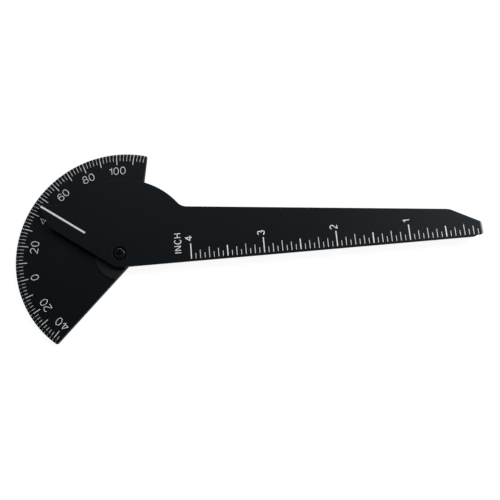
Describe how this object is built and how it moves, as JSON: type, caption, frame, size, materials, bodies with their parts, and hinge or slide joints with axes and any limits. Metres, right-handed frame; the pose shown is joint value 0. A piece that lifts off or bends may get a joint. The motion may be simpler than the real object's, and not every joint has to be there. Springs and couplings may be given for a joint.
{
  "type": "finger goniometer",
  "caption": "Finger goniometer: a ruler arm with a pointer turns by friction on a toothed protractor plate with a degree scale.",
  "frame": {"origin": "pivot axis, in the plane of the protractor plate's back face, which is what the tool lies on", "axes": "+X along the ruler arm's straight edge from the pivot to the zero end, +Z along the pivot axis from the back to the screw head"},
  "size_m": [0.1643, 0.0663, 0.0036],
  "materials": {
    "plate_plastic": "satin black moulded plastic, slightly cool",
    "arm_plastic": "satin black moulded plastic",
    "nut_steel": "plain turned steel",
    "screw_steel": "black oxide",
    "spring_steel": "spring steel",
    "washer_plastic": "natural nylon",
    "white_print": "white ink of the printed scales"
  },
  "bodies": {
    "protractor": {"protractor_plate": "plate_plastic", "pivot_nut": "nut_steel", "pivot_screw": "screw_steel", "spring_washer": "spring_steel", "friction_washer": "washer_plastic"},
    "arm": {"ruler_arm": "arm_plastic"}
  },
  "joints": [
    {"name": "arm_pivot", "type": "hinge", "parent": "protractor", "child": "arm", "pos_m": [0, 0, 0], "axis": [0, 0, 1], "continuous": true}
  ]
}
